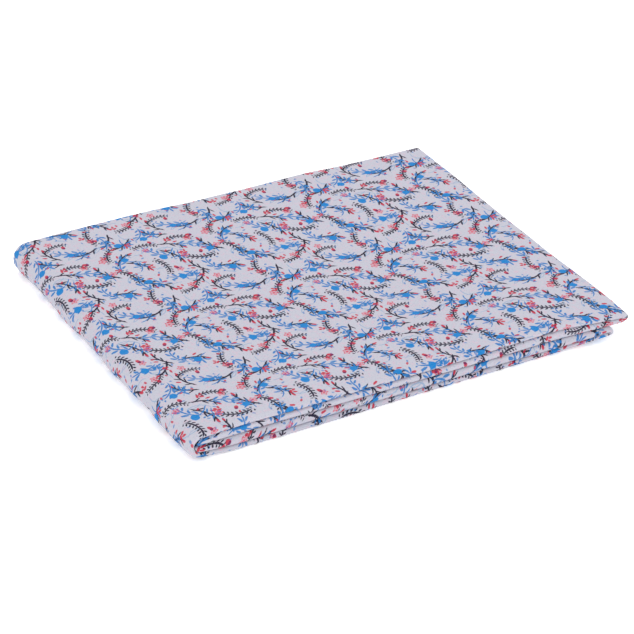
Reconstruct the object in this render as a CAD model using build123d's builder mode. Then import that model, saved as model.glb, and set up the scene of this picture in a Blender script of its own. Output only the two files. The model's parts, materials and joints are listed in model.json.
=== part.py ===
from build123d import *
import os

os.makedirs("parts", exist_ok=True)

# Printed cotton ironing board cover with a felt pad, folded to one eighth. Units are mm, +Z is up.
# The cover is doubled along its length (rounded fold at -Y, hems at +Y), both ends are turned in
# to the middle (folds at +X) and the two halves close like a book (fold at -X).

# driving dimensions
length = 322.0          # folded pack, book fold to the far end of the upper half
depth = 258.0           # lengthwise fold to the hemmed edges
layer_t = 4.9           # one layer: two plies of cotton over felt
layer_gap = 0.2         # between the two layers of one half
half_gap = 0.4          # between the lower and the upper half
end_step = 11.0         # how far the lower half stops short of the upper one
cotton_t = 0.5          # cotton thickness
ply_gap = 0.3           # between the two felt plies of a layer
felt_clear = 0.02       # between felt and cotton
hem_w = 12.0            # width of every hem
hem_hole_w = 7.0        # flat channel inside an edge hem
hem_hole_t = 0.7
thread_w = 0.5          # seam thread, laid flush in the hem
thread_t = 0.3
thread_in = 1.6         # seam line, in from the hem's inner edge
book_split = 1.0        # degrees between the book fold's split and its middle plane
lower_end_in = -1.2     # where the tucked ends stop, from the book fold's centre
upper_end_in = -0.6
end_round = 0.7         # rounding of the tucked ends

# derived
height = 4 * layer_t + 2 * layer_gap + half_gap
z_mid = height / 2
half_t = layer_t / 2
bend_r = (layer_t + layer_gap) / 2
book_r = z_mid - half_t
y_fold = -depth / 2 + half_t
y_hem = depth / 2 - hem_w
ply_t = half_t - ply_gap / 2
ply_mid = (half_t + ply_gap / 2) / 2
x_book = -length / 2 + z_mid
x_end_upper = length / 2 - half_t - bend_r
x_end_lower = x_end_upper - end_step
x_free_lower = x_book + lower_end_in
x_free_upper = x_book + upper_end_in
thread_y = y_hem + thread_in


def fold_path(x_from, x_end, up):
    """Middle line of one half, from its tucked end round the far fold to the book fold."""
    z_in = z_mid + up * (half_gap / 2 + half_t)
    z_out = z_in + up * 2 * bend_r
    inner = Line((x_from, z_in), (x_end, z_in))
    far = CenterArc((x_end, z_in + up * bend_r), bend_r, -90 * up, 180 * up)
    outer = Line((x_end, z_out), (x_book, z_out))
    book = CenterArc((x_book, z_mid), book_r, 90 * up, (90 - book_split) * up)
    return Wire([Plane.XZ * e for e in (inner.edge(), far.edge(), outer.edge(), book.edge())])


def section_at(x_from, up):
    """Plane across a half at x_from: local x runs along Y, local y along Z."""
    z_in = z_mid + up * (half_gap / 2 + half_t)
    return Plane(origin=(x_from, 0, z_in), x_dir=(0, 1, 0), z_dir=(1, 0, 0))


def hairpin(outer, inner):
    """A doubled ply: two flat legs joined by the round lengthwise fold."""
    leg = y_hem - y_fold
    with Locations((y_fold + leg / 2, 0)):
        Rectangle(leg, 2 * outer)
    with Locations((y_fold, 0)):
        Circle(outer)
    with Locations((y_fold + leg / 2, 0)):
        Rectangle(leg, 2 * inner, mode=Mode.SUBTRACT)
    with Locations((y_fold, 0)):
        Circle(inner, mode=Mode.SUBTRACT)


def thread_lines():
    """The seam thread of both edge hems, one on each outer face."""
    with Locations((thread_y, half_t - thread_t / 2), (thread_y, thread_t / 2 - half_t)):
        Rectangle(thread_w, thread_t)


def edge_hems():
    """The two edge hems of a layer: flat, rounded outside, hollow, grooved for the thread."""
    flat = hem_w - ply_t / 2
    for side in (-1, 1):
        with Locations((y_hem + flat / 2, side * ply_mid)):
            Rectangle(flat, ply_t)
        with Locations((y_hem + flat, side * ply_mid)):
            Circle(ply_t / 2)
        with Locations((y_hem + hem_w / 2, side * ply_mid)):
            SlotOverall(hem_hole_w, hem_hole_t, mode=Mode.SUBTRACT)
        with Locations((thread_y, side * (half_t - thread_t / 2))):
            Rectangle(thread_w, thread_t, mode=Mode.SUBTRACT)


def end_thread_places(x_free, up):
    """Where the seam thread crosses a tucked end, above and below."""
    z_in = z_mid + up * (half_gap / 2 + half_t)
    x = x_free + hem_w - thread_in
    y = (y_fold + y_hem) / 2
    out = half_t - thread_t / 2
    return [(x, y, z_in - out), (x, y, z_in + out)]


lower_path = fold_path(x_free_lower + hem_w, x_end_lower, -1)
upper_path = fold_path(x_free_upper + hem_w, x_end_upper, 1)
lower_hem_path = fold_path(x_free_lower, x_end_lower, -1)
upper_hem_path = fold_path(x_free_upper, x_end_upper, 1)
lower_start = section_at(x_free_lower + hem_w, -1)
upper_start = section_at(x_free_upper + hem_w, 1)
lower_hem_start = section_at(x_free_lower, -1)
upper_hem_start = section_at(x_free_upper, 1)
felt_outer = half_t - cotton_t - felt_clear
seam_len = y_hem - y_fold

# lower half: the book's resting cover
with BuildPart() as lower_cotton:
    with BuildSketch(lower_start):
        hairpin(half_t, half_t - cotton_t)
    sweep(path=lower_path)

with BuildPart() as lower_felt:
    with BuildSketch(lower_start):
        hairpin(felt_outer, ply_gap / 2)
    sweep(path=lower_path)

with BuildPart() as lower_edge_hem:
    with BuildSketch(lower_hem_start):
        edge_hems()
    sweep(path=lower_hem_path)

with BuildPart() as lower_end_hem:
    with BuildSketch(lower_hem_start):
        hairpin(half_t, ply_gap / 2)
    extrude(amount=hem_w)
    tucked = lower_end_hem.edges().filter_by(Axis.Y).group_by(Axis.X)[0]
    fillet(ShapeList([tucked.sort_by(Axis.Z)[0], tucked.sort_by(Axis.Z)[-1]]), end_round)
    with Locations(*end_thread_places(x_free_lower, -1)):
        Box(thread_w, seam_len, thread_t, mode=Mode.SUBTRACT)

with BuildPart() as lower_thread:
    with BuildSketch(lower_hem_start):
        thread_lines()
    sweep(path=lower_hem_path)
    with Locations(*end_thread_places(x_free_lower, -1)):
        Box(thread_w, seam_len, thread_t)

# upper half: turns about the book fold
with BuildPart() as upper_cotton:
    with BuildSketch(upper_start):
        hairpin(half_t, half_t - cotton_t)
    sweep(path=upper_path)

with BuildPart() as upper_felt:
    with BuildSketch(upper_start):
        hairpin(felt_outer, ply_gap / 2)
    sweep(path=upper_path)

with BuildPart() as upper_edge_hem:
    with BuildSketch(upper_hem_start):
        edge_hems()
    sweep(path=upper_hem_path)

with BuildPart() as upper_end_hem:
    with BuildSketch(upper_hem_start):
        hairpin(half_t, ply_gap / 2)
    extrude(amount=hem_w)
    tucked = upper_end_hem.edges().filter_by(Axis.Y).group_by(Axis.X)[0]
    fillet(ShapeList([tucked.sort_by(Axis.Z)[0], tucked.sort_by(Axis.Z)[-1]]), end_round)
    with Locations(*end_thread_places(x_free_upper, 1)):
        Box(thread_w, seam_len, thread_t, mode=Mode.SUBTRACT)

with BuildPart() as upper_thread:
    with BuildSketch(upper_hem_start):
        thread_lines()
    sweep(path=upper_hem_path)
    with Locations(*end_thread_places(x_free_upper, 1)):
        Box(thread_w, seam_len, thread_t)

nodes = {
    "lower_cotton": lower_cotton,
    "lower_felt": lower_felt,
    "lower_edge_hem": lower_edge_hem,
    "lower_end_hem": lower_end_hem,
    "lower_thread": lower_thread,
    "upper_cotton": upper_cotton,
    "upper_felt": upper_felt,
    "upper_edge_hem": upper_edge_hem,
    "upper_end_hem": upper_end_hem,
    "upper_thread": upper_thread,
}
for name, node in nodes.items():
    node.part.label = name
    export_step(node.part, "parts/" + name + ".step")
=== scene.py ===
import json
import math

import bmesh
import bpy
import numpy as np
from mathutils import Matrix, Vector


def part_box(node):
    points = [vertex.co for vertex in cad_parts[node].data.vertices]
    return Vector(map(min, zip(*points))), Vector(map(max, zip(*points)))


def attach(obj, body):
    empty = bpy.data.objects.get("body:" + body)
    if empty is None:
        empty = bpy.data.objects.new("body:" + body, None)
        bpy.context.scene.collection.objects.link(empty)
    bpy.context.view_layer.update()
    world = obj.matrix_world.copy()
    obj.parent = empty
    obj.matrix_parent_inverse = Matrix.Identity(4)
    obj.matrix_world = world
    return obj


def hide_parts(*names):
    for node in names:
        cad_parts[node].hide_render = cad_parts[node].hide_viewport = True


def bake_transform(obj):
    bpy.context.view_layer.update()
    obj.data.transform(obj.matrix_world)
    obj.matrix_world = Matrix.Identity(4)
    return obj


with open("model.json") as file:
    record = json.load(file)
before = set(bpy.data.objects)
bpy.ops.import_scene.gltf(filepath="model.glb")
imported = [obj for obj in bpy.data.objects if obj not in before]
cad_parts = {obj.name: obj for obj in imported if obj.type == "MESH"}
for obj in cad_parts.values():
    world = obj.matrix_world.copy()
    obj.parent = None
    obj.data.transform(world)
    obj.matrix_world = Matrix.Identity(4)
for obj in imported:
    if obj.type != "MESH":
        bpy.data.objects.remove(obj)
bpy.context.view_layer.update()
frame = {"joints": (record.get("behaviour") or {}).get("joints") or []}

MM = 0.001


# ---------------------------------------------------------------- sizes, in millimetres
def box_mm(node):
    """Lowest and highest corner of a node at rest."""
    return [np.array(corner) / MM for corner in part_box(node)]


# the folded pack, read from the frame
upper_low, upper_high = box_mm("upper_cotton")
lower_high = box_mm("lower_cotton")[1]
hem_low, hem_high = box_mm("upper_edge_hem")
tuck_up_low, tuck_up_high = box_mm("upper_end_hem")
tuck_down_low = box_mm("lower_end_hem")[0]
hinge = frame["joints"][0]
left_x = hinge["pos_m"][0] / MM
mid_z = hinge["pos_m"][2] / MM
top_z = upper_high[2]
front_y = upper_low[1]
back_y = hem_high[1]
half_len = (upper_high[0] - left_x) / 2
half_dep = (back_y - front_y) / 2
hem_in_y = hem_low[1]

# the cloth
layer_t = tuck_up_high[2] - tuck_up_low[2]
half_t = layer_t / 2
layer_gap = 0.2
half_gap = 0.4
cotton_t = 0.5
hem_w = 12.0
ply_gap = 0.3
felt_clear = 0.06

# the hem stitches
seam_in = 1.6
seam_y = hem_in_y + seam_in
stitch_len = 2.1
stitch_step = 2.9
stitch_sink = 0.3
thread_r = 0.2

# the middle line of the folded layers: z4 is the lowest layer's height and z1 the highest one's
bend_r = (layer_t + layer_gap) / 2
book_r = mid_z - half_t
hollow_r = book_r - half_t
book_x = left_x + mid_z
far_up_x = upper_high[0] - half_t - bend_r
far_down_x = lower_high[0] - half_t - bend_r
tuck_up_x = tuck_up_low[0]
tuck_down_x = tuck_down_low[0]
fold_y = front_y + half_t
z4 = half_t
z3 = z4 + 2 * bend_r
z2 = mid_z + half_gap / 2 + half_t
z1 = z2 + 2 * bend_r


# ---------------------------------------------------------------- camera, light and table
def aim(azimuth, elevation, roll, distance, target):
    """Camera matrix looking at target from that bearing, with the horizon turned by roll."""
    a, e = math.radians(azimuth), math.radians(elevation)
    back = Vector((math.sin(a) * math.cos(e), -math.cos(a) * math.cos(e), math.sin(e)))
    right = Vector((math.cos(a), math.sin(a), 0))
    up = back.cross(right)
    r = math.radians(roll)
    across = math.cos(r) * right + math.sin(r) * up
    upward = math.cos(r) * up - math.sin(r) * right
    m = Matrix((across, upward, back)).transposed().to_4x4()
    m.translation = target + back * distance
    return m


camera_data = bpy.data.cameras.new("camera")
camera_data.sensor_width = 36
camera_data.lens = 178.6
camera_data.shift_x = 0.0043
camera_data.shift_y = -0.0399
camera_data.clip_start = 0.05
camera_data.clip_end = 20
camera = bpy.data.objects.new("camera", camera_data)
bpy.context.collection.objects.link(camera)
camera.matrix_world = aim(-29.62, 30.54, 1.77, 2.086, Vector((0, 0, mid_z * MM)))
bpy.context.scene.camera = camera


def lamp(name, place, target, size, power, tint):
    """A square softbox at place, facing target."""
    data = bpy.data.lights.new(name, "AREA")
    data.size = size
    data.energy = power
    data.color = tint
    thing = bpy.data.objects.new(name, data)
    bpy.context.collection.objects.link(thing)
    place, target = Vector(place), Vector(target)
    facing = (target - place).to_track_quat("-Z", "Y").to_matrix().to_4x4()
    thing.matrix_world = Matrix.Translation(place) @ facing


lamp("overhead softbox", (0.2, 0.25, 1.6), (0, 0, 0), 1.6, 6, (1.0, 0.995, 0.985))
lamp("front softbox", (-0.9, -1.5, 0.8), (0, 0, 0.01), 1.2, 3.5, (1.0, 1.0, 1.0))
lamp("side softbox", (1.4, -0.6, 0.9), (0, 0, 0.01), 1.0, 1.5, (0.985, 0.99, 1.0))

world = bpy.data.worlds.new("studio")
bpy.context.scene.world = world
world.use_nodes = True
sky = world.node_tree.nodes["Background"]
sky.inputs["Color"].default_value = (1, 1, 1, 1)
sky.inputs["Strength"].default_value = 1.0
bpy.context.scene.view_settings.view_transform = "Standard"

bpy.ops.object.select_all(action="DESELECT")
bpy.ops.mesh.primitive_plane_add(size=12, location=(0, 0, 0))
table = bpy.context.object
table.name = "table_top"
white = bpy.data.materials.new("white table")
white.use_nodes = True
# the table glows a little though it is no lamp: painted light that keeps it white where the pack's shadow
# falls and lights the cloth's sides from below
matt = white.node_tree.nodes["Principled BSDF"]
matt.inputs["Base Color"].default_value = (0.97, 0.97, 0.97, 1)
matt.inputs["Roughness"].default_value = 0.9
matt.inputs["Emission Color"].default_value = (1, 1, 1, 1)
matt.inputs["Emission Strength"].default_value = 0.3
table.data.materials.append(white)


# ---------------------------------------------------------------- the fold's shape
class Run:
    """Stations along the middle line of the folded cover, from one tucked end to the other."""

    def __init__(self):
        self.x, self.z, self.nx, self.nz, self.turn, self.arc = [], [], [], [], [], []

    def add(self, x, z, nx, nz, turn):
        if self.x:
            self.arc.append(self.arc[-1] + math.hypot(x - self.x[-1], z - self.z[-1]))
        else:
            self.arc.append(0.0)
        self.x.append(x)
        self.z.append(z)
        self.nx.append(nx)
        self.nz.append(nz)
        self.turn.append(turn)

    def straight(self, x_from, x_to, z, up, turn, places):
        """A flat layer: places are fractions of its length."""
        for f in places:
            self.add(x_from + f * (x_to - x_from), z, 0, up, turn)

    def bend(self, x, z, r, start, angles, turn):
        """A fold that turns clockwise from start: angles are degrees turned so far."""
        for t in angles:
            a = math.radians(start - t)
            out_x, out_z = math.cos(a), math.sin(a)
            self.add(x + r * out_x, z + r * out_z, out_x, out_z, turn + math.radians(t))


def spaced(length, step, fine):
    """Fractions from 0 to 1 at about step, closing up to fine at both ends."""
    places, at, gap = [0.0], 0.0, fine
    while at + gap < length / 2:
        at += gap
        places.append(at)
        gap = min(step, gap * 1.45)
    half = places + [length / 2]
    whole = half + [length - p for p in reversed(places)]
    return [p / length for p in whole]


# how far apart the points lie on flat layers, on the top, across the layers, beside a bend, beside the
# lengthwise fold and at a tucked end
flat_step, top_step, across_step = 9, 5.2, 5.0
bend_step, nose_step, end_step = 1.5, 1.2, 0.25

# degrees turned at each point of the far folds, and on each side of the book fold's outermost line
far_angles = [12, 26, 40, 54, 68, 82, 98, 112, 126, 140, 154, 168]
book_near = [0.35, 0.8, 1.3, 1.9, 2.6, 3.6, 5.0, 7.5, 11, 16, 22, 29, 36, 43, 50, 57, 64, 71, 78, 85]
book_angles = [90 - b for b in reversed(book_near)] + [90] + [90 + b for b in book_near]

run = Run()
inner_low = spaced(far_down_x - tuck_down_x, flat_step, end_step)
run.straight(tuck_down_x, far_down_x, z3, 1, -2 * math.pi, inner_low)
run.bend(far_down_x, z4 + bend_r, bend_r, 90, far_angles, -2 * math.pi)
run.straight(far_down_x, book_x, z4, -1, -math.pi, spaced(far_down_x - book_x, flat_step, bend_step))
run.bend(book_x, mid_z, book_r, 270, book_angles, -math.pi)
run.straight(book_x, far_up_x, z1, 1, 0, spaced(far_up_x - book_x, top_step, bend_step))
run.bend(far_up_x, z2 + bend_r, bend_r, 90, far_angles, 0)
inner_high = spaced(far_up_x - tuck_up_x, flat_step, end_step)
run.straight(far_up_x, tuck_up_x, z2, -1, math.pi, inner_high)
station_x, station_z = np.array(run.x), np.array(run.z)
normal_x, normal_z = np.array(run.nx), np.array(run.nz)
turned, along = np.array(run.turn), np.array(run.arc)
first_flat = int(np.argmax((turned == 0) & (station_x >= book_x)))
along = along - along[first_flat] + book_x


def outline(leg_out, hem_in):
    """A face of the doubled cloth, from the hem of one leg round the fold to the other: (y, off) points.
    leg_out is the face's distance from the middle, hem_in where the hem turns back to."""
    ply_mid = (half_t + ply_gap / 2) / 2
    r = leg_out - ply_mid
    edge_y = back_y - (half_t - ply_mid)
    top = [(hem_in + f * (edge_y - hem_in), ply_mid - r) for f in (0, 0.5, 1)]
    for a in range(-72, 73, 18):
        top.append((edge_y + r * math.cos(math.radians(a)), ply_mid + r * math.sin(math.radians(a))))
    # the seam pulls a shallow groove into each face
    groove_deep, groove_w = 0.22, 0.8
    seam = [seam_y + d for d in (-3, -1.4, -0.6, 0, 0.6, 1.4, 3)]
    plain = [edge_y + f * (fold_y - edge_y) for f in spaced(edge_y - fold_y, across_step, nose_step)]
    leg = sorted([y for y in plain if abs(y - seam_y) > 3.6] + seam, reverse=True)
    upper_leg = [(y, leg_out - groove_deep * math.exp(-((y - seam_y) / groove_w) ** 2)) for y in leg]
    nose = nose_points(leg_out)
    return mirrored_legs(top + upper_leg, nose)


def nose_points(radius):
    """The rounded lengthwise fold."""
    turns = [math.radians(a) for a in range(100, 270, 10)]
    return [(fold_y + radius * math.cos(a), radius * math.sin(a)) for a in turns]


def mirrored_legs(leg, nose):
    """A leg, the fold, and the same leg on the other side."""
    return leg + nose + [(y, -off) for y, off in reversed(leg)]


def pad_outline(leg_out):
    """A face of the felt, which stops just short of the hem."""
    y_from = hem_in_y - 0.4
    leg = [(y_from + f * (fold_y - y_from), leg_out) for f in spaced(y_from - fold_y, flat_step, nose_step)]
    return mirrored_legs(leg, nose_points(leg_out))


def measured(points):
    """Running length of an outline, zero at the front of the fold."""
    p = np.array(points)
    run_length = np.concatenate([[0], np.cumsum(np.hypot(*np.diff(p, axis=0).T))])
    nose = int(np.argmin(p[:, 0]))
    return run_length[nose] - run_length


# ---------------------------------------------------------------- how the pack has settled
# slopes of the pack's edges: the back and front ones along x, the right one along y
skew_back, skew_front, skew_right = 0.0085, 0.0339, -0.0246
# how uneven each half's two layers are: their boundary is raised in the upper half, lowered in the other
upper_crowd, lower_crowd = 0.20, 0.46
# shares of its height that each half loses at the far front corner, and the lower one at the near one
far_press_up, far_press_down, near_lift = 0.32, 0.36, 0.2
back_bow = 1.6
front_overhang = 0.7
# how far the free end's front corner is drawn out, and how much the lower half's differs
draw_x, draw_x_below = 2.0, 0.9
draw_y, draw_y_below = 3.0, 0.6
swells = [
    # x, y, reach along x, reach along y, height: where the padded top has risen or sunk
    (133, -98, 44, 40, 3.6),
    (38, -8, 46, 62, -3.4),
    (92, 22, 40, 46, -2.2),
    (-92, 92, 60, 42, 1.7),
    (-110, -104, 60, 36, 1.2),
    (10, -118, 70, 20, 0.9),
    (-70, -10, 50, 46, -0.9),
    (148, 70, 26, 60, 0.6),
]
ripples = [
    # waves per metre along x and y, height, start
    (9.0, 5.5, 0.30, 0.4),
    (5.0, -11.0, 0.26, 2.1),
    (17.0, 8.0, 0.13, 1.2),
    (-12.0, 21.0, 0.11, 3.0),
    (27.0, -19.0, 0.06, 5.2),
]


def swell(x, y):
    """Height of the padded top above or below its mean."""
    h = np.zeros_like(x)
    for cx, cy, rx, ry, high in swells:
        h += high * np.exp(-(((x - cx) / rx) ** 2) - ((y - cy) / ry) ** 2)
    for kx, ky, high, start in ripples:
        h += high * np.sin(2 * math.pi * (kx * x + ky * y) * MM + start)
    return h


def ease(t):
    t = np.clip(t, 0, 1)
    return t * t * (3 - 2 * t)


def fill_book_fold(x, z):
    """Presses the two tucked ends into the hollow of the book fold, each into its own quarter of it."""
    wall_clear, pressed_len = 0.15, 14
    rise = z - mid_z
    inside = (x > book_x) | (np.hypot(x - book_x, rise) < hollow_r - 0.03)
    tucked = (np.abs(rise) < hollow_r - 0.08) & inside
    end = np.where(rise > 0, tuck_up_x, tuck_down_x)
    wall = book_x - np.sqrt(np.clip((hollow_r - wall_clear) ** 2 - rise**2, 0, None))
    return np.where(tucked, x + (1 - ease((x - end) / pressed_len)) * (wall - end), x)


def crease_book_fold(x, y, z):
    """Presses the inner side of the book fold out to its outer line, so that it opens as one crease.
    The rounded lengthwise fold and the hems keep their full thickness."""
    least, reach = 0.1, 4.5
    rise = z - mid_z
    in_bend = (x < book_x) & (np.hypot(x - book_x, rise) >= hollow_r - 0.03)
    outside = book_x - np.sqrt(np.clip(mid_z**2 - rise**2, 0, None))
    thin = least + (1 - least) * ease((np.abs(rise) - 0.3) / reach)
    thin = 1 - (1 - thin) * ease((y - fold_y) / 5) * ease((back_y - y) / 10)
    return np.where(in_bend, outside + (x - outside) * thin, x)


def settle(p):
    """Moves points of the neatly folded pack (N x 3, mm) to where the soft pack has settled."""
    y, z = p[:, 1].copy(), p[:, 2].copy()
    x = crease_book_fold(fill_book_fold(p[:, 0], z), y, z)
    right = np.clip(0.5 + x / (2 * half_len), 0, 1.05)
    back = np.clip(0.5 + y / (2 * half_dep), 0, 1.05)
    upper_foot = mid_z + half_gap / 2
    lower_head = mid_z - half_gap / 2
    upper = np.clip((z - upper_foot) / (top_z - upper_foot), 0, 1)
    lower = np.clip(z / lower_head, 0, 1)
    # the top undulates, but it stays level over the book fold, where the hinge line is straight
    from_book = ease((x - left_x) / 30)
    rise = swell(x, y) * from_book
    upper_share = upper + upper_crowd * upper * (1 - upper) * from_book
    lower_share = lower - lower_crowd * lower * (1 - lower) * from_book
    # the far front corner is pressed flatter, and the near one lifts a little off the table
    front = np.clip(1 - back, 0, 1)
    far_corner = ease((x - 100) / 60) * front**1.5
    near_corner = ease((-x - 120) / 40) * front**2
    z_up = upper_foot + (top_z - upper_foot + rise) * upper_share * (1 - far_press_up * far_corner)
    kept = 1 - far_press_down * far_corner - near_lift * near_corner
    z_down = lower_head - lower_head * (1 - lower_share) * kept
    z_new = np.where(z > upper_foot, z_up, np.where(z < lower_head, z_down, z))
    x_new = x + skew_right * y * right
    # the book fold is a little lumpy above and below its outermost line, which stays straight for the hinge
    lump = 0.7 * np.sin(y * 0.083 + 0.6) + 0.35 * np.sin(y * 0.19 + 2.0)
    x_new += lump * (1 - from_book) * ease((np.abs(z - mid_z) - 0.3) / 4)
    y_new = y + x * (skew_back * back + skew_front * (1 - back))
    # the back edges bow out a little in the middle
    y_new += back_bow * back**3 * (1 - (x / half_len) ** 2)
    # each layer's front fold wanders by itself, so that no two folded edges line up
    layer = z / layer_t
    wander = np.sin(x * 0.021 + 1.7 * layer) * 0.45 + np.sin(x * 0.053 + 2.9 * layer + 1.0) * 0.22
    y_new += wander * (1 - back) ** 8
    # the top layer overhangs the ones below it by a hair at the front
    y_new += front_overhang * ease((top_z - layer_t - z) / layer_t) * (1 - back) ** 30
    # the front corner of the free end is drawn out, the lower half's more sideways
    corner = ease((x - 95) / 66) * np.clip(1 - back, 0, 1) ** 3
    below = ease((mid_z + 1 - z) / 2)
    x_new += corner * (draw_x + draw_x_below * below)
    y_new -= corner * (draw_y - draw_y_below * below)
    return np.stack([x_new, y_new, z_new], axis=1)


def folded(points, keep):
    """Grid of points: the outline (y, off) carried along the kept stations of the fold's middle line."""
    y = np.array([q[0] for q in points])[None, :]
    off = np.array([q[1] for q in points])[None, :]
    x = station_x[keep, None] + normal_x[keep, None] * off
    z = station_z[keep, None] + normal_z[keep, None] * off
    return np.stack([x, np.broadcast_to(y, x.shape), z], axis=2)


def close_ends(grid, middle, keep, reach):
    """Rounds off both tucked ends: the section closes onto its own middle line over the last reach mm."""
    place = along[keep]
    t = np.clip(np.minimum(place - place[0], place[-1] - place) / reach, 0, 1)
    k = np.sqrt(np.clip(1 - (1 - t) ** 2, 0.02, 1))[:, None, None]
    return middle + (grid - middle) * k


def print_place(points, keep):
    """Place of every grid point on the flat cut cloth, in metres."""
    b = measured(points)
    off = np.clip(b / 25.0, -1, 1) * half_t
    a = along[keep, None] + turned[keep, None] * off[None, :]
    return np.stack([a, np.broadcast_to(b[None, :], a.shape)], axis=2) * MM


def settled_piece(name, points, faces):
    """A smooth object of these points and faces, where the soft pack has settled, with its faces outwards."""
    mesh = bpy.data.meshes.new(name)
    mesh.from_pydata((settle(points) * MM).tolist(), [], faces)
    work = bmesh.new()
    work.from_mesh(mesh)
    bmesh.ops.recalc_face_normals(work, faces=work.faces)
    work.to_mesh(mesh)
    work.free()
    mesh.shade_smooth()
    thing = bpy.data.objects.new(name, mesh)
    bpy.context.collection.objects.link(thing)
    return thing


def cloth_mesh(name, outer, inner, reach, end_in):
    """A closed cloth shell between two outlines with as many points, carried along the fold.
    It stops end_in short of both tucked ends and is rounded off there over reach."""
    keep = np.flatnonzero((along >= along[0] + end_in) & (along <= along[-1] - end_in))
    middle = folded([((p[0] + q[0]) / 2, (p[1] + q[1]) / 2) for p, q in zip(outer, inner)], keep)
    grids = [close_ends(folded(side, keep), middle, keep, reach) for side in (outer, inner)]
    rows, count = len(keep), len(outer)
    wide = 2 * count
    loop = np.concatenate([grids[0], grids[1][:, ::-1]], axis=1)
    place = print_place(outer, keep)
    place = np.concatenate([place, place[:, ::-1]], axis=1)
    index = np.arange(rows * wide).reshape(rows, wide)
    nxt = np.roll(index, -1, axis=1)
    faces = np.stack([index[:-1], index[1:], nxt[1:], nxt[:-1]], axis=2).reshape(-1, 4).tolist()
    for row, turn_over in ((0, False), (rows - 1, True)):
        for i in range(count - 1):
            quad = [index[row, i], index[row, i + 1], index[row, wide - 2 - i], index[row, wide - 1 - i]]
            faces.append([int(v) for v in (quad[::-1] if turn_over else quad)])
    thing = settled_piece(name, loop.reshape(-1, 3), faces)
    uv = thing.data.uv_layers.new(name="cut")
    corner = np.empty(len(thing.data.loops), dtype=np.int32)
    thing.data.loops.foreach_get("vertex_index", corner)
    uv.data.foreach_set("uv", place.reshape(-1, 2)[corner].astype(np.float32).ravel())
    return thing


cotton_inside = half_t - cotton_t
cover = cloth_mesh("cotton_cover", outline(half_t, hem_in_y), outline(cotton_inside, hem_in_y), 1.2, 0)
felt_outside, felt_inside = pad_outline(cotton_inside - felt_clear), pad_outline(ply_gap / 2)
pad = cloth_mesh("felt_pad", felt_outside, felt_inside, 1.0, hem_w + 0.5)


# ---------------------------------------------------------------- hem stitches
def one_stitch():
    """A short round-ended length of thread lying along +Z: its points and faces."""
    bpy.ops.object.select_all(action="DESELECT")
    bpy.ops.mesh.primitive_cylinder_add(vertices=6, radius=thread_r, depth=stitch_len)
    stitch = bpy.context.object
    rounding = stitch.modifiers.new("rounded ends", "BEVEL")
    rounding.width = thread_r * 0.6
    rounding.segments = 1
    rounding.limit_method = "ANGLE"
    rounding.angle_limit = math.radians(75)
    bpy.ops.object.modifier_apply(modifier=rounding.name)
    points = np.array([v.co for v in stitch.data.vertices])
    faces = [list(f.vertices) for f in stitch.data.polygons]
    bpy.data.objects.remove(stitch)
    return points, faces


def seam_places(ats, ys, side, crosswise):
    """Where each stitch of a seam lies: centre, way along the seam, way out of the cloth."""
    made = []
    for at in ats:
        x, z = np.interp(at, along, station_x), np.interp(at, along, station_z)
        nx, nz = np.interp(at, along, normal_x), np.interp(at, along, normal_z)
        size = math.hypot(nx, nz)
        out = np.array([nx, 0, nz]) / size * side
        way = np.array([0.0, 1.0, 0.0]) if crosswise else np.array([nz, 0, -nx]) / size
        for y in ys:
            made.append((np.array([x, y, z]) + out * half_t, way, out))
    return made


def seam_mesh(name, places):
    """Copies of the stitch at all places, each with its two ends sunk in the cloth."""
    stitch, stitch_faces = one_stitch()
    verts, faces = [], []
    for centre, way, out in places:
        side = np.cross(way, out)
        base = len(verts)
        for sideways, outward, lengthwise in stitch:
            sink = stitch_sink * (lengthwise / (stitch_len / 2)) ** 2 + thread_r * 0.8
            verts.append(centre + way * lengthwise + side * sideways + out * (outward - sink))
        faces += [[base + k for k in f] for f in stitch_faces]
    return settled_piece(name, np.array(verts), faces)


bend_places = slice(first_flat - len(book_angles), first_flat)
book_at = float(np.interp(mid_z, station_z[bend_places], along[bend_places]))
end_seam_ys = np.arange(fold_y + 2, hem_in_y - 1, stitch_step)
seams = {}
for body, name, low, high, end_seam in (
    ("lower_half", "lower_hem_stitches", along[0], book_at, along[0] + hem_w - seam_in),
    ("upper_half", "upper_hem_stitches", book_at, along[-1], along[-1] - hem_w + seam_in),
):
    edge_seam = np.arange(low + stitch_step, high - stitch_step, stitch_step)
    places = []
    for side in (-1, 1):
        places += seam_places(edge_seam, [seam_y], side, False)
        places += seam_places([end_seam], end_seam_ys, side, True)
    seams[body] = seam_mesh(name, places)


# ---------------------------------------------------------------- finishes
light_level = 0.8


def linear(r, g, b):
    """A colour given as 0-255 screen values, made linear for a shader and dimmed for the studio light."""
    out = []
    for c in (r, g, b):
        c = c / 255
        out.append((c / 12.92 if c <= 0.04045 else ((c + 0.055) / 1.055) ** 2.4) * light_level)
    return (*out, 1.0)


ground_tint = linear(205, 206, 218)
blush_tint = linear(222, 196, 212)
pale_tint = linear(150, 178, 210)
dust_tint = linear(166, 158, 200)
leaf_tint = linear(40, 124, 196)
navy_tint = linear(16, 5, 44)
rose_tint = linear(222, 62, 90)
red_tint = linear(200, 38, 66)
plum_tint = linear(108, 36, 92)
bud_tint = linear(18, 134, 210)
felt_tint = linear(222, 218, 210)
thread_tint = linear(220, 216, 224)

# the print's repeat along and across the cloth, the degrees it is turned by, and the weave's thread spacing
repeat_u, repeat_v = 80.0, 87.7
print_turn = 3.3
thread_pitch = 0.84
# how softly the edges of a printed line and of a printed shape fade, and how long a leafy stem's tip is
line_fade, shape_fade = 0.12, 0.13
tip_len = 3.5


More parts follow.
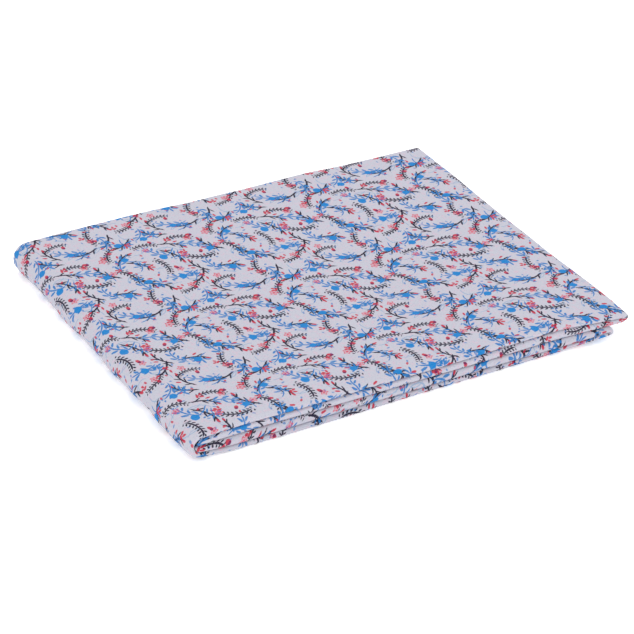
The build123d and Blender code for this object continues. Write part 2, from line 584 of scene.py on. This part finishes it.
class Drawing:
    """Draws in a node tree. Sizes and places are in millimetres, from the middle of the motif being drawn."""

    def __init__(self, tree):
        self.tree = tree
        self.here = None

    def node(self, kind, **settings):
        made = self.tree.nodes.new(kind)
        for name, value in settings.items():
            setattr(made, name, value)
        return made

    def join(self, source, socket):
        if isinstance(source, (int, float, tuple)):
            socket.default_value = source
        else:
            self.tree.links.new(source, socket)

    def math(self, operation, *values):
        made = self.node("ShaderNodeMath", operation=operation)
        for value, socket in zip(values, made.inputs):
            self.join(value, socket)
        return made.outputs[0]

    def vector(self, operation, *values, number=False):
        made = self.node("ShaderNodeVectorMath", operation=operation)
        sockets = [made.inputs[0], made.inputs["Scale"]] if operation == "SCALE" else made.inputs
        for value, socket in zip(values, sockets):
            self.join(value, socket)
        return made.outputs["Value" if number else "Vector"]

    def parts(self, vector):
        made = self.node("ShaderNodeSeparateXYZ")
        self.join(vector, made.inputs[0])
        return made.outputs["X"], made.outputs["Y"], made.outputs["Z"]

    def step(self, value, low, high, to_low=1.0, to_high=0.0):
        """A smooth change from to_low, at low and below, to to_high."""
        made = self.node("ShaderNodeMapRange", interpolation_type="SMOOTHSTEP")
        for item, socket in zip((value, low, high, to_low, to_high), made.inputs):
            self.join(item, socket)
        return made.outputs["Result"]

    def noise(self, vector, scale, detail):
        made = self.node("ShaderNodeTexNoise", noise_dimensions="2D")
        self.join(vector, made.inputs["Vector"])
        made.inputs["Scale"].default_value = scale
        made.inputs["Detail"].default_value = detail
        return made

    def strew(self, flat, across, down, shift, roam, seed):
        """Divides the repeat into cells and stands a motif in each, moved, turned and sized by chance."""
        cell = (repeat_u / across, repeat_v / down, 1.0)
        scaled = self.vector("DIVIDE", self.vector("ADD", flat, (shift, shift * 0.7, 0.0)), cell)
        cells = (float(across), float(down), 1.0)
        number = self.vector("WRAP", self.vector("FLOOR", scaled), cells, (0.0, 0.0, 0.0))
        chance = self.node("ShaderNodeTexWhiteNoise", noise_dimensions="3D")
        self.join(self.vector("ADD", number, (0.5, 0.5, seed + 0.5)), chance.inputs["Vector"])
        from_middle = self.vector("SUBTRACT", self.vector("FRACTION", scaled), (0.5, 0.5, 0.0))
        inside = self.vector("MULTIPLY", from_middle, cell)
        moved = self.vector("SUBTRACT", chance.outputs["Color"], (0.5, 0.5, 0.5))
        placed = self.vector("SUBTRACT", inside, self.vector("MULTIPLY", moved, (2 * roam, 2 * roam, 0.0)))
        turned_cell = self.node("ShaderNodeVectorRotate", rotation_type="Z_AXIS")
        self.join(placed, turned_cell.inputs["Vector"])
        self.join(self.math("MULTIPLY", chance.outputs["Value"], 2 * math.pi), turned_cell.inputs["Angle"])
        size = self.math("MULTIPLY_ADD", self.parts(moved)[2], 0.24, 1.02)
        self.here = self.vector("SCALE", turned_cell.outputs[0], size)

    def local(self, x, y, angle, wide, high):
        """Places seen from a point of the motif, turned by angle and in units of wide and high."""
        made = self.node("ShaderNodeMapping", vector_type="TEXTURE")
        self.join(self.here, made.inputs["Vector"])
        made.inputs["Location"].default_value = (x, y, 0)
        made.inputs["Rotation"].default_value = (0, 0, math.radians(angle))
        made.inputs["Scale"].default_value = (wide, high, 1)
        return made.outputs["Vector"]

    def oval(self, x, y, angle, half_long, half_wide):
        """A berry, a bud, a petal or a leaf."""
        soft = min(0.4, shape_fade / half_wide)
        r = self.vector("LENGTH", self.local(x, y, angle, half_long, half_wide), number=True)
        return self.step(r, 1 - soft, 1 + soft)

    def stem(self, x, y, angle, radius, half_span, half_wide):
        """A curved line: x, y is its middle, angle where its outside faces, half_span in degrees."""
        a = math.radians(angle)
        spot = self.local(x - radius * math.cos(a), y - radius * math.sin(a), angle, radius, radius)
        away = self.math("ABSOLUTE", self.math("SUBTRACT", self.vector("LENGTH", spot, number=True), 1.0))
        line = self.step(away, max(0, half_wide - line_fade) / radius, (half_wide + line_fade) / radius)
        edge = math.cos(math.radians(half_span))
        return self.math("MULTIPLY", line, self.math("GREATER_THAN", self.parts(spot)[0], edge))

    def leafy_stem(self, radius, half_span, half_wide, pitch, reach, lean, half_long, leaf_wide):
        """A stem that bows towards +x, with a pair of leaves at every pitch, leaning forward by lean."""
        sag = radius * (1 - math.cos(math.radians(half_span)))
        spot = self.local(sag / 2 - radius, 0, 0, 1, 1)
        x, y, _ = self.parts(spot)
        up_stem = self.math("MULTIPLY", self.math("ARCTAN2", y, x), radius)
        away = self.math("ABSOLUTE", self.math("SUBTRACT", self.vector("LENGTH", spot, number=True), radius))
        from_middle = self.math("ABSOLUTE", up_stem)
        half_stem = radius * math.radians(half_span)
        tip = self.math("MAXIMUM", self.math("SUBTRACT", from_middle, half_stem - tip_len), 0.0)
        narrowed = self.math("MULTIPLY_ADD", tip, half_wide / tip_len, away)
        line = self.step(narrowed, max(0, half_wide - line_fade), half_wide + line_fade)
        beside = self.node("ShaderNodeCombineXYZ")
        self.join(self.math("WRAP", up_stem, pitch / 2, -pitch / 2), beside.inputs["X"])
        self.join(away, beside.inputs["Y"])
        leaf = self.node("ShaderNodeMapping", vector_type="TEXTURE")
        self.join(beside.outputs[0], leaf.inputs["Vector"])
        leaf.inputs["Location"].default_value = (0, reach, 0)
        leaf.inputs["Rotation"].default_value = (0, 0, math.radians(lean))
        leaf.inputs["Scale"].default_value = (half_long, leaf_wide, 1)
        soft = min(0.4, shape_fade / leaf_wide)
        leaf_r = self.vector("LENGTH", leaf.outputs["Vector"], number=True)
        both = self.math("MAXIMUM", line, self.step(leaf_r, 1 - soft, 1 + soft))
        return self.math("MULTIPLY", both, self.math("LESS_THAN", from_middle, half_stem))

    def flower(self, radius):
        """Five petals drawn as an outline round a small eye."""
        spot = self.local(0, 0, 0, radius, radius)
        x, y, _ = self.parts(spot)
        lobes = self.math("COSINE", self.math("MULTIPLY", self.math("ARCTAN2", y, x), 5.0))
        edge = self.math("MULTIPLY_ADD", lobes, 0.18, 0.82)
        r = self.math("DIVIDE", self.vector("LENGTH", spot, number=True), edge)
        hollow = self.step(self.math("ABSOLUTE", self.math("SUBTRACT", r, 0.54)), 0.14, 0.26, 0.65, 0.0)
        return self.math("MAXIMUM", self.math("SUBTRACT", self.step(r, 0.86, 1.1), hollow), 0.0)

    def all_of(self, shapes):
        """The union of several shapes, each a (maker, sizes) pair."""
        total = None
        for maker, *sizes in shapes:
            made = maker(*sizes)
            total = made if total is None else self.math("MAXIMUM", total, made)
        return total

    def paint(self, ground, shape, tint, strength):
        made = self.node("ShaderNodeMix", data_type="RGBA", blend_type="MIX")
        # a mix node's sockets for its factor, two colours and result have numbers, as their names repeat
        self.join(self.math("MULTIPLY", shape, strength), made.inputs[0])
        self.join(ground, made.inputs[6])
        self.join(tint, made.inputs[7])
        return made.outputs[2]


def tendrils(draw, ink):
    curls = [(draw.stem, 0, 0, 0, 9, 48, 0.32), (draw.stem, -2, -2, 150, 6, 40, 0.28)]
    return draw.paint(ink, draw.all_of(curls), pale_tint, 0.85)


def speck(draw, ink):
    return draw.paint(ink, draw.oval(0, 0, 0, 1.3, 0.65), leaf_tint, 0.7)


def seed_pod(draw, ink):
    return draw.paint(ink, draw.oval(0, 0, 0, 1.35, 0.75), red_tint, 0.85)


def blue_arch(draw, ink):
    return draw.paint(ink, draw.leafy_stem(15, 40, 0.55, 5.6, 2.2, 34, 2.2, 0.85), leaf_tint, 0.92)


def leaf_spray(draw, ink):
    """Five narrow leaves fanned out round the end of a short stem."""
    shapes = [(draw.stem, -3.0, 0.6, 100, 8, 28, 0.4)]
    for a in (-96, -50, -8, 36, 84):
        turn = math.radians(a)
        shapes.append((draw.oval, 3.6 * math.cos(turn), 3.6 * math.sin(turn), a, 2.5, 0.72))
    return draw.paint(ink, draw.all_of(shapes), leaf_tint, 0.92)


def dark_twig(draw, ink):
    return draw.paint(ink, draw.leafy_stem(16, 38, 0.6, 2.6, 1.55, 50, 1.15, 0.55), navy_tint, 0.97)


def dark_branch(draw, ink):
    """A long thin branch with four side shoots, two of them in bud."""
    radius, sag, shoot = 19, 2.6, 2.7
    shapes = [(draw.stem, sag / 2, 0, 0, radius, 30, 0.68)]
    for turn, side, high in ((-22, 1, 1.0), (-9, -1, 1.15), (4, 1, 1.1), (16, -1, 0.9)):
        at, way = math.radians(turn), turn + 90 - side * 36
        reach = shoot * high
        x = radius * math.cos(at) - radius + sag / 2 + reach * math.cos(math.radians(way))
        y = radius * math.sin(at) + reach * math.sin(math.radians(way))
        shapes.append((draw.oval, x, y, way, reach, 0.56))
    ink = draw.paint(ink, draw.all_of(shapes), navy_tint, 0.97)
    buds = [(draw.oval, 5.0, 1.0, 50, 1.9, 0.8), (draw.oval, -1.4, 9.4, 110, 1.9, 0.85)]
    return draw.paint(ink, draw.all_of(buds), red_tint, 0.92)


def outline_flower(draw, ink):
    return draw.paint(ink, draw.flower(2.9), rose_tint, 0.9)


def berry(draw, ink):
    ink = draw.paint(ink, draw.oval(0, 0, 0, 2.1, 1.35), red_tint, 0.93)
    return draw.paint(ink, draw.oval(1.1, 0.1, 0, 1.0, 1.1), plum_tint, 0.85)


def petal_fan(draw, ink):
    petals = [(draw.oval, 0, 0, -20, 1.7, 0.85), (draw.oval, 2.1, 1.2, 35, 1.4, 0.8),
              (draw.oval, 0.2, 2.5, 80, 1.4, 0.8)]
    return draw.paint(ink, draw.all_of(petals), red_tint, 0.92)


def bud_on_stem(draw, ink):
    stalk = [(draw.stem, 0, 0, 0, 12, 30, 0.42), (draw.oval, 1.7, -2.2, 60, 2.0, 0.65)]
    ink = draw.paint(ink, draw.all_of(stalk), leaf_tint, 0.92)
    return draw.paint(ink, draw.oval(-1.4, 6.4, 20, 2.9, 2.6), bud_tint, 0.97)


# motif, cells across and down the repeat, shift of the cells, how far a motif may roam in its cell
printing_order = [
    (tendrils, 4, 4, 7.0, 1.4),
    (speck, 6, 7, 3.0, 3.6),
    (dark_twig, 3, 3, 3.0, 1.8),
    (dark_branch, 3, 3, 17.0, 2.0),
    (dark_branch, 2, 3, 31.0, 2.0),
    (leaf_spray, 3, 3, 16.0, 4.0),
    (blue_arch, 3, 3, 27.0, 1.2),
    (outline_flower, 3, 3, 5.0, 9.0),
    (petal_fan, 3, 3, 9.0, 7.0),
    (seed_pod, 4, 4, 6.0, 6.0),
    (berry, 3, 3, 2.0, 7.0),
    (bud_on_stem, 3, 3, 21.0, 2.4),
]


def printed_cotton():
    """Plain-weave cotton with a small sprigged floral, strewn over a repeat."""
    made = bpy.data.materials.new("printed_cotton")
    made.use_nodes = True
    draw = Drawing(made.node_tree)
    shader = made.node_tree.nodes["Principled BSDF"]
    cut = draw.node("ShaderNodeUVMap", uv_map="cut")
    turned_print = draw.node("ShaderNodeMapping", vector_type="TEXTURE")
    draw.join(cut.outputs[0], turned_print.inputs["Vector"])
    turned_print.inputs["Rotation"].default_value = (0, 0, math.radians(print_turn))
    turned_print.inputs["Scale"].default_value = (MM, -MM, 1)
    flat = turned_print.outputs["Vector"]
    edges = draw.vector("SUBTRACT", draw.noise(flat, 0.9, 2).outputs["Color"], (0.5, 0.5, 0.5))
    inked = draw.vector("ADD", flat, draw.vector("MULTIPLY", edges, (0.6, 0.6, 0.0)))
    mottle = draw.noise(flat, 0.34, 4).outputs["Fac"]
    ink = draw.paint(ground_tint, draw.step(mottle, 0.48, 0.72, 0.0, 1.0), blush_tint, 0.7)
    dust = draw.noise(flat, 1.1, 2).outputs["Fac"]
    ink = draw.paint(ink, draw.step(dust, 0.58, 0.7, 0.0, 1.0), dust_tint, 0.4)
    for seed, (motif, across, down, shift, roam) in enumerate(printing_order):
        draw.strew(inked, across, down, shift, roam, 3.0 * seed)
        ink = motif(draw, ink)
    faded = draw.noise(flat, 2.2, 3).outputs["Fac"]
    ink = draw.paint(ink, draw.step(faded, 0.5, 0.8, 0.0, 1.0), ground_tint, 0.18)
    x, y, _ = draw.parts(flat)
    thread_turns = 2 * math.pi / thread_pitch
    weave = draw.math("MULTIPLY", draw.math("SINE", draw.math("MULTIPLY", x, thread_turns)),
                      draw.math("SINE", draw.math("MULTIPLY", y, thread_turns)))
    slub = draw.noise(draw.vector("MULTIPLY", flat, (0.35, 2.4, 1.0)), 1.0, 3).outputs["Fac"]
    height = draw.math("MULTIPLY_ADD", weave, 0.35, slub)
    shade = draw.step(height, 0.1, 0.9, 0.94, 1.05)
    draw.join(draw.vector("SCALE", ink, shade), shader.inputs["Base Color"])
    bump = draw.node("ShaderNodeBump")
    bump.inputs["Strength"].default_value = 0.35
    bump.inputs["Distance"].default_value = 0.00012
    draw.join(height, bump.inputs["Height"])
    draw.join(bump.outputs["Normal"], shader.inputs["Normal"])
    shader.inputs["Roughness"].default_value = 0.88
    shader.inputs["Specular IOR Level"].default_value = 0.12
    shader.inputs["Sheen Weight"].default_value = 0.03
    shader.inputs["Sheen Roughness"].default_value = 0.5
    return made


def fibrous(name, tint, scale, distance):
    """A plain fibre surface, for the felt and the thread."""
    made = bpy.data.materials.new(name)
    made.use_nodes = True
    draw = Drawing(made.node_tree)
    shader = made.node_tree.nodes["Principled BSDF"]
    place = draw.node("ShaderNodeTexCoord")
    fibres = draw.noise(place.outputs["Object"], scale, 5)
    fibres.noise_dimensions = "3D"
    height = fibres.outputs["Fac"]
    shade = draw.step(height, 0.3, 0.7, 0.9, 1.06)
    draw.join(draw.vector("SCALE", tint[:3], shade), shader.inputs["Base Color"])
    bump = draw.node("ShaderNodeBump")
    bump.inputs["Distance"].default_value = distance
    draw.join(height, bump.inputs["Height"])
    draw.join(bump.outputs["Normal"], shader.inputs["Normal"])
    shader.inputs["Roughness"].default_value = 0.95
    return made


cover.data.materials.append(printed_cotton())
pad.data.materials.append(fibrous("needled_felt", felt_tint, 900, 0.0003))
seam_thread = fibrous("seam_thread", thread_tint, 4000, 0.00003)
for seam in seams.values():
    seam.data.materials.append(seam_thread)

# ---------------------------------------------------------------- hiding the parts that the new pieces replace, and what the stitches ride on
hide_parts("lower_cotton", "upper_cotton", "lower_edge_hem", "upper_edge_hem",
            "lower_end_hem", "upper_end_hem")
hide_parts("lower_felt", "upper_felt")
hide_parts("lower_thread")
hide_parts("upper_thread")
for body, seam in seams.items():
    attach(seam, body)
# both sheets have their transforms baked into their meshes
for cloth in (cover, pad):
    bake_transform(cloth)
